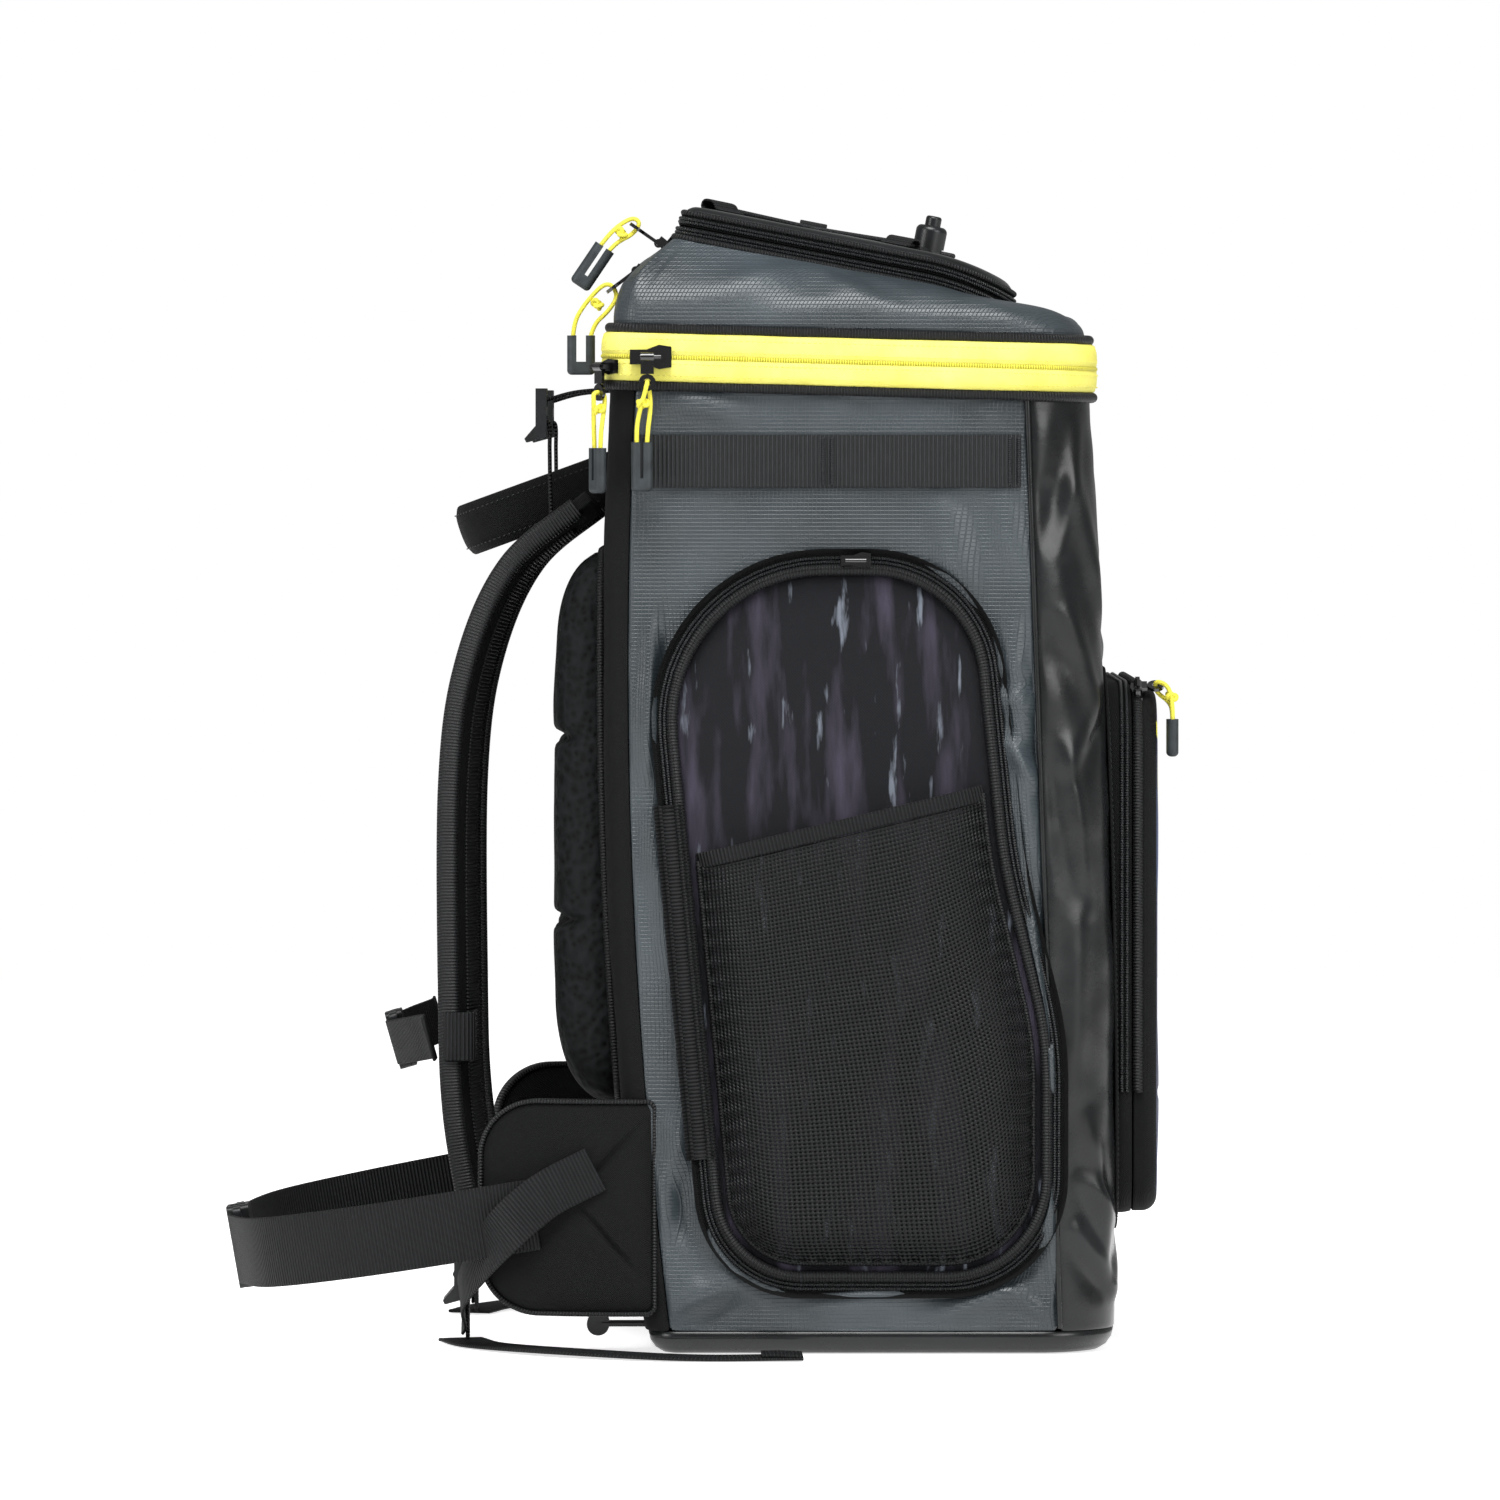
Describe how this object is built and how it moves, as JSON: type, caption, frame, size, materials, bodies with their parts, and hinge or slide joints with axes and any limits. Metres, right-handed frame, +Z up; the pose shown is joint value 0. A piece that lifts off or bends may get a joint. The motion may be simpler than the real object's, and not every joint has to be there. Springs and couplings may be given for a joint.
{
  "type": "ski boot backpack",
  "caption": "Ski boot backpack in coated cloth with a zipped lid, hinged side doors with mesh pockets, a front pouch and a padded harness.",
  "frame": {"origin": "middle of the base, on the ground", "axes": "+Z up, +Y towards the wearer's back (harness side), -Y the front pouch, -X the wearer's left"},
  "size_m": [0.4662, 0.5148, 0.6156],
  "materials": {
    "tarpaulin_grey": "matte coated tarpaulin with a faint ripstop grid",
    "tarpaulin_black": "glossy coated tarpaulin",
    "zip_band_yellow": "smooth coated water-resistant zip tape",
    "nylon_black": "woven pack cloth",
    "webbing_black": "ribbed woven webbing",
    "mesh_black": "open knitted mesh",
    "print_dark": "printed lining with a pattern of like colours",
    "foam_black": "padded spacer mesh",
    "coil_black": "moulded zip coil",
    "buckle_black": "moulded acetal",
    "slider_black": "gloss black enamel on die-cast metal",
    "cord_yellow": "braided cord",
    "shock_cord_black": "braided elastic cord",
    "grip_rubber": "matte moulded rubber",
    "stay_plastic": "sheet plastic"
  },
  "bodies": {
    "pack": {"base_panel": "tarpaulin_grey", "front_panel": "tarpaulin_black", "back_panel": "nylon_black", "side_panel_left": "tarpaulin_grey", "side_panel_right": "tarpaulin_grey", "frame_sheet": "stay_plastic", "boot_dividers": "nylon_black", "zip_band_lower": "zip_band_yellow", "pouch_gusset": "tarpaulin_black", "panel_zips": "coil_black", "side_webbing": "webbing_black", "back_pad": "foam_black", "grab_handle": "webbing_black", "shoulder_straps": "foam_black", "ladder_locks": "buckle_black", "harness_webbing": "webbing_black", "hip_wings": "foam_black", "belt_webbing_left": "webbing_black", "waist_socket": "buckle_black", "sternum_sleeves": "webbing_black", "sternum_socket": "buckle_black", "base_toggle": "buckle_black", "fixed_sliders": "slider_black"},
    "door_left": {"door_left": "print_dark", "mesh_pocket_left": "mesh_black"},
    "door_right": {"door_right": "print_dark", "mesh_pocket_right": "mesh_black"},
    "lid": {"zip_band_upper": "zip_band_yellow", "lid_shell": "tarpaulin_grey", "lid_lining": "nylon_black", "flap_zip": "coil_black", "flap_sliders": "slider_black"},
    "flap": {"lid_flap": "tarpaulin_grey", "bungee": "shock_cord_black", "bungee_tabs": "webbing_black", "cord_lock": "buckle_black"},
    "cord_lock_button": {"cord_lock_button": "buckle_black"},
    "flap_pull_upper": {"flap_pull_upper": "slider_black", "flap_cord_upper": "cord_yellow", "flap_grip_upper": "grip_rubber"},
    "flap_pull_lower": {"flap_pull_lower": "slider_black", "flap_cord_lower": "cord_yellow", "flap_grip_lower": "grip_rubber"},
    "slider_front": {"main_slider_front": "slider_black"},
    "pull_front": {"main_pull_front": "slider_black", "main_cord_front": "cord_yellow", "main_grip_front": "grip_rubber"},
    "pull_rear": {"main_pull_rear": "slider_black", "main_cord_rear": "cord_yellow", "main_grip_rear": "grip_rubber"},
    "pouch_front": {"pouch_face": "print_dark", "pouch_slider": "slider_black"},
    "pouch_pull": {"pouch_pull": "slider_black", "pouch_cord": "cord_yellow", "pouch_grip": "grip_rubber"},
    "waist_tongue": {"waist_strap_right": "webbing_black", "waist_tongue": "buckle_black"},
    "sternum_tongue": {"sternum_strap_right": "webbing_black", "sternum_tongue": "buckle_black"}
  },
  "joints": [
    {"name": "lid_hinge", "type": "hinge", "parent": "pack", "child": "lid", "pos_m": [0, 0.1455, 0.5298], "axis": [-1, 0, 0], "range_deg": [0, 90]},
    {"name": "flap_hinge", "type": "hinge", "parent": "lid", "child": "flap", "pos_m": [0, 0.10332, 0.59966], "axis": [-1, 0, 0], "range_deg": [0, 75]},
    {"name": "cord_lock_press", "type": "slide", "parent": "flap", "child": "cord_lock_button", "axis": [0, 0.1908, -0.9816], "range_m": [0, 0.003], "stiffness_N_per_m": 800, "springref_m": -0.001},
    {"name": "flap_pull_upper_swing", "type": "hinge", "parent": "lid", "child": "flap_pull_upper", "pos_m": [-0.13, 0.11489, 0.59028], "axis": [-1, 0, 0], "range_deg": [-60, 0]},
    {"name": "flap_pull_lower_swing", "type": "hinge", "parent": "lid", "child": "flap_pull_lower", "pos_m": [-0.142, 0.12689, 0.57555], "axis": [-1, 0, 0], "range_deg": [-90, 0]},
    {"name": "door_left_hinge", "type": "hinge", "parent": "pack", "child": "door_left", "pos_m": [-0.1855, 0.086, 0.108], "axis": [0, -0.0931, -0.9957], "range_deg": [0, 110]},
    {"name": "door_right_hinge", "type": "hinge", "parent": "pack", "child": "door_right", "pos_m": [0.1855, 0.086, 0.108], "axis": [0, 0.0931, 0.9957], "range_deg": [0, 110]},
    {"name": "main_zip_slide", "type": "slide", "parent": "pack", "child": "slider_front", "axis": [0, -0.9997, -0.0262], "range_m": [0, 0.16]},
    {"name": "main_pull_front_swing", "type": "hinge", "parent": "slider_front", "child": "pull_front", "pos_m": [-0.1965, 0.1203, 0.5291], "axis": [0, 1, 0], "range_deg": [0, 90]},
    {"name": "main_pull_rear_swing", "type": "hinge", "parent": "pack", "child": "pull_rear", "pos_m": [-0.18477, 0.14573, 0.524], "axis": [0.8191, 0.5736, 0], "range_deg": [0, 90]},
    {"name": "pouch_hinge", "type": "hinge", "parent": "pack", "child": "pouch_front", "pos_m": [0, -0.152, 0.134], "axis": [1, 0, 0], "range_deg": [0, 80]},
    {"name": "pouch_pull_swing", "type": "hinge", "parent": "pouch_front", "child": "pouch_pull", "pos_m": [-0.12375, -0.1416, 0.35367], "axis": [-0.866, 0, -0.5], "range_deg": [0, 60]},
    {"name": "waist_release", "type": "slide", "parent": "pack", "child": "waist_tongue", "axis": [1, 0, 0], "range_m": [0, 0.022]},
    {"name": "sternum_release", "type": "slide", "parent": "pack", "child": "sternum_tongue", "axis": [1, 0, 0], "range_m": [0, 0.014]}
  ],
  "couplings": [
    {"joint": "flap_pull_lower_swing", "follows": "lid_hinge", "ratio": -1}
  ]
}
